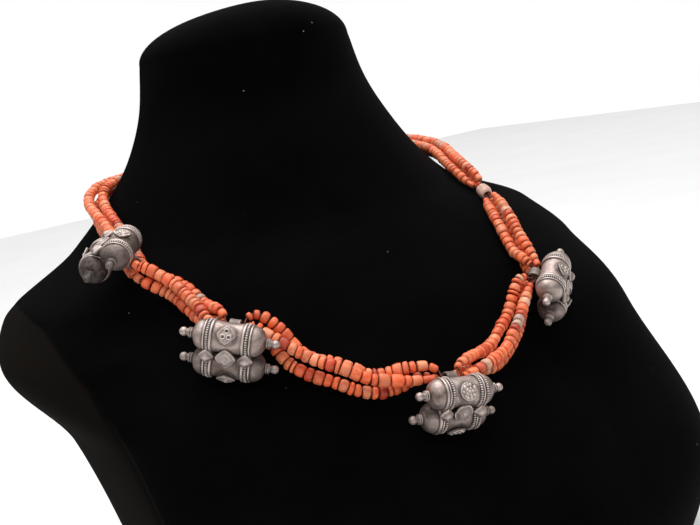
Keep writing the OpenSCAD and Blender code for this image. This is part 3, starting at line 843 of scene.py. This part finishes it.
def amulet(name, g, plates, seed, swing=0.0, wires=(USUAL, USUAL), dark_ends=0.0):
    """plates: shape and style of the upper, the middle and the lower plate. swing: how many
    degrees the amulet hangs askew. wires: for the left and the right band, its three wires from
    the outer to the inner. dark_ends: the painted shade on the domes and knobs."""
    rng = np.random.default_rng(seed)
    build = Build()
    turn, base = turns_of[g], middle_of[g]
    sw = turn_matrix((0, swing, 0))

    def placed(local):
        return lambda p: (local(p) @ sw.T) @ turn.T + base

    def upper(p):
        return p + np.array([0, AXIS_Y, 0])

    def lower(p):
        return p + np.array([0, AXIS_Y, -barrel_pitch])

    def on_barrel(centre, angle):
        tilt, lift = turn_matrix((angle, 0, 0)), 0.5 * barrel_d - 0.15
        return lambda p: centre((p + np.array([0, -lift, 0])) @ tilt.T)

    def in_groove(x):
        return lambda p: p + np.array([x, AXIS_Y - (0.5 * barrel_d - 0.85), -0.5 * barrel_pitch])

    bands = [(side * (band_at + k * BAND_STEP), kind)
             for side, kinds in zip((-1, 1), wires) for k, kind in zip((1, 0, -1), kinds)]
    barrel(build, placed(upper), bands, rng, 1, dark_ends)
    barrel(build, placed(lower), bands, rng, -1, dark_ends)
    wide, small = UPPER_PLATE * plate_w, SIDE_PLATE * plate_w
    plate(build, placed(on_barrel(upper, -PLATE_TURN)), wide, *plates[0], rng, 1.15)
    plate(build, placed(on_barrel(lower, PLATE_TURN)), wide, *plates[2], rng, 1.15)
    plate(build, placed(in_groove(0)), plate_w, *plates[1], rng, 1.3)
    for x in (-band_at, band_at):
        plate(build, placed(in_groove(x)), small, "lozenge", "domed", rng, 1.3)
    # The loop: a tube with rolled rims, open along the thread
    half, ri, ro = 0.5 * loop_len, 0.5 * loop_bore, LOOP_R
    rows = [(-half, 0.5 * (ri + ro), 0.7), (-half + 0.2, ro, 0.5), (-half + 0.9, ro, 0.6),
            (0, ro - 0.08, 0.7), (half - 0.9, ro, 0.6), (half - 0.2, ro, 0.5),
            (half, 0.5 * (ri + ro), 0.7), (half - 0.2, ri, 0.9), (0, ri, 1.0),
            (-half + 0.2, ri, 0.9)]
    # The inside of the loop is darkest: tarnish and painted shade
    x, r, dirt_and_shade = np.array(rows).T[..., None]
    grid = about_x(x, r, full_turn(40))
    tone = np.empty(grid.shape)
    tone[..., 0], tone[..., 1], tone[..., 2] = 0.5, 0.0, dirt_and_shade
    build.sheet(grid @ turn.T + base, 0, tone, loop=True)
    # Solder between the barrels, darkened with tarnish and painted shade
    seam = np.linspace((-9.5, AXIS_Y, -0.5 * barrel_pitch), (9.5, AXIS_Y, -0.5 * barrel_pitch), 60)
    size = 0.75 + 0.22 * np.cos(np.linspace(0, 19, 60)) * np.cos(np.linspace(0, 7, 60))
    build.sheet(placed(lambda p: p)(tube(seam, size, 10)), 0, (0.5, 0.1, 0.75), ends=(True, True))
    build.piece("silver_" + name, [silver], [name], 35)


LOZ, RND = "lozenge", "round"
# amulet_a's domes and knobs get painted shade
amulet("amulet_a", A, [(LOZ, "rings"), (LOZ, "raised"), (LOZ, "grains")], 11, ASKEW, dark_ends=0.7)
amulet("amulet_b", B, [(LOZ, "rings"), (LOZ, "raised"), (LOZ, "raised")], 12)
amulet("amulet_c", C, [(RND, "granules"), (RND, "grains"), (RND, "granules")], 13,
       wires=(("plain", "thin", "beaded"), ("beaded", "thin", "beaded")))
amulet("amulet_d", D, [(LOZ, "rings"), (LOZ, "raised"), (LOZ, "grains")], 14)


# ---------------------------------------------------------------- pale bead and clasp
def pale_bead():
    rng = np.random.default_rng(77)
    build = Build()
    a = full_turn(44)
    half, bore = 0.5 * pale_len, 1.8
    rows = [(-half + 0.3, bore), (-half, bore + 0.35)]
    for u in np.linspace(-1, 1, 17):
        rows.append((u * half * 0.99, 0.5 * pale_d * (1.0 - 0.13 * u * u) - 0.55 * abs(u) ** 8))
    rows += [(half, bore + 0.35), (half - 0.3, bore), (0, bore)]
    x, r = np.array(rows).T[..., None]
    swell = np.minimum(smooth_waves(about_x(x, r, a), rng, 4.5, 0.16), 0.05)
    grid = about_x(x, r + swell * (r > bore + 0.5), a)
    build.sheet(grid @ turns_of[PALE].T + middle_of[PALE], loop=True)
    build.piece("pale_gather_bead", [pale_stone], ["pale_bead"], 50)


pale_bead()
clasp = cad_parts["clasp"]
if clasp.data.materials:
    clasp.data.materials[0] = silver
else:
    clasp.data.materials.append(silver)


# ---------------------------------------------------------------- velvet bust
# The side panel, painted lighter: height, and how many degrees it reaches from the bust's side
side_panel = np.array([(0, 12), (96, 14.5), (121, 17.5), (136, 20.5), (150, 21), (160, 19.5),
                       (166, 18), (173, 15), (178, 8), (181, 0), (186, -12)], dtype=float)


def bust():
    build = Build()
    # Angles round the bust, closer at the creases on its sides
    a = np.concatenate([np.arange(-155, -25, 1.25), np.arange(-25, 4, 0.5),
                        np.arange(4, 176, 1.25), np.arange(176, 205, 0.5)])
    cols = len(a)
    top = row_h[-1]
    # The rings lie closer where the necklace is
    zs = np.concatenate([np.linspace(0, 120, 60, endpoint=False),
                         np.linspace(120, 240, 100, endpoint=False), np.linspace(240, top, 32)])
    rings = [skin(a, np.full(cols, z)) for z in zs]
    # The rounded top of the neck
    rim = rings[-1]
    centre = np.array([0, TO_MIDDLE + 0.5 * float(section(top, FRONT) + section(top, BACK)), top])
    for t in np.radians(np.concatenate([np.linspace(4, 76, 20), [81, 85.5, 88.5]])):
        ring = centre + math.cos(t) * (rim - centre)
        ring[:, 2] = top + crown_h * math.sin(t)
        rings.append(ring)
    grid = np.array(rings)
    off = np.minimum(np.abs(a), np.abs(np.abs(a) - 180))[None, :]
    heights = np.concatenate([zs, np.full(len(grid) - len(zs), top)])
    inside = np.interp(heights, side_panel[:, 0], side_panel[:, 1])[:, None] - off
    # A crease runs down the panel's edge, and the panel lies a little deeper
    sunk = 0.7 * ramp((inside + 1.2) / 2.4) + 0.9 * np.exp(-(inside / 0.9) ** 2)
    middle = np.array([0, TO_MIDDLE + 20.0, 0])
    inward = middle - grid
    inward[..., 2] = 0
    grid = grid + sunk[..., None] * inward / np.linalg.norm(inward, axis=-1, keepdims=True)
    tone = np.zeros(grid.shape)
    # Painted light: how far each point lies inside the side panel, which the velvet paints lighter
    tone[..., 1] = np.clip(0.5 + inside / 24, 0, 1)
    build.sheet(grid, 0, tone, ends=(True, True))
    build.piece("velvet_neck_bust", [velvet], ["neck_bust"], 50)


bust()

# ---------------------------------------------------------------- floor, light and camera
floor_mesh = bpy.data.meshes.new("floor")
FLOOR_HALF = 3
corners = [(x * FLOOR_HALF, y * FLOOR_HALF, 0) for x, y in ((-1, -1), (1, -1), (1, 1), (-1, 1))]
floor_mesh.from_pydata(corners, [], [(0, 1, 2, 3)])
floor_mesh.materials.append(floor_material())
floor = bpy.data.objects.new("floor", floor_mesh)
bpy.context.scene.collection.objects.link(floor)

scene = bpy.context.scene
scene.view_settings.view_transform = "Standard"
world = bpy.data.worlds.new("studio") if scene.world is None else scene.world
scene.world = world
world.use_nodes = True
sky, air = world.node_tree.nodes, world.node_tree.links
seen = sky.new("ShaderNodeLightPath").outputs["Is Camera Ray"]
# White where the camera sees it, and a weak fill elsewhere
FILL = 0.22
strength = maths(sky, air, "ADD", FILL, maths(sky, air, "MULTIPLY", seen, 1 - FILL))
air.new(strength, sky["Background"].inputs[1])
sky["Background"].inputs[0].default_value = (1.0, 1.0, 1.0, 1)


def softbox(name, place, aim, size, power):
    lamp = bpy.data.lights.new(name, "AREA")
    lamp.shape = "RECTANGLE"
    lamp.size, lamp.size_y = size
    lamp.energy = power
    obj = bpy.data.objects.new(name, lamp)
    obj.location = place
    obj.rotation_euler = (Vector(aim) - Vector(place)).to_track_quat("-Z", "Y").to_euler()
    scene.collection.objects.link(obj)


# Name, place, aim and size in metres, and power in watts
softbox("ceiling", (0, 0.5, 4.0), (0, 0.5, 0), (12, 12), 560)
softbox("top_box", (0.05, 0.10, 1.15), (0, -0.03, 0.15), (0.8, 0.6), 6)
softbox("front_box", (-0.7, -1.0, 0.7), (0, -0.05, 0.15), (0.6, 0.5), 1)

# The photo's view, fitted to the bust's outline
FOCAL_PX, WIDTH_PX, SENSOR_MM, AWAY_MM = 952, 700, 36, 462
yaw, lift, roll = (math.radians(v) for v in (-35, 9.5, -10.5))
target = Vector((-11, 6, 170)) * MM
right = Vector((math.cos(yaw), math.sin(yaw), 0))
up = Vector((-math.sin(yaw) * math.sin(lift), math.cos(yaw) * math.sin(lift), math.cos(lift)))
back = Vector((math.sin(yaw) * math.cos(lift), -math.cos(yaw) * math.cos(lift), math.sin(lift)))
right2 = right * math.cos(roll) + up * math.sin(roll)
up2 = up * math.cos(roll) - right * math.sin(roll)
camera = bpy.data.cameras.new("camera")
camera.sensor_fit = "HORIZONTAL"
camera.sensor_width = SENSOR_MM
camera.lens = FOCAL_PX * SENSOR_MM / WIDTH_PX
camera.clip_start = 0.01
eye = bpy.data.objects.new("camera", camera)
axes = Matrix((right2, up2, back)).transposed().to_4x4()
eye.matrix_world = Matrix.Translation(target + back * AWAY_MM * MM) @ axes
scene.collection.objects.link(eye)
scene.camera = eye
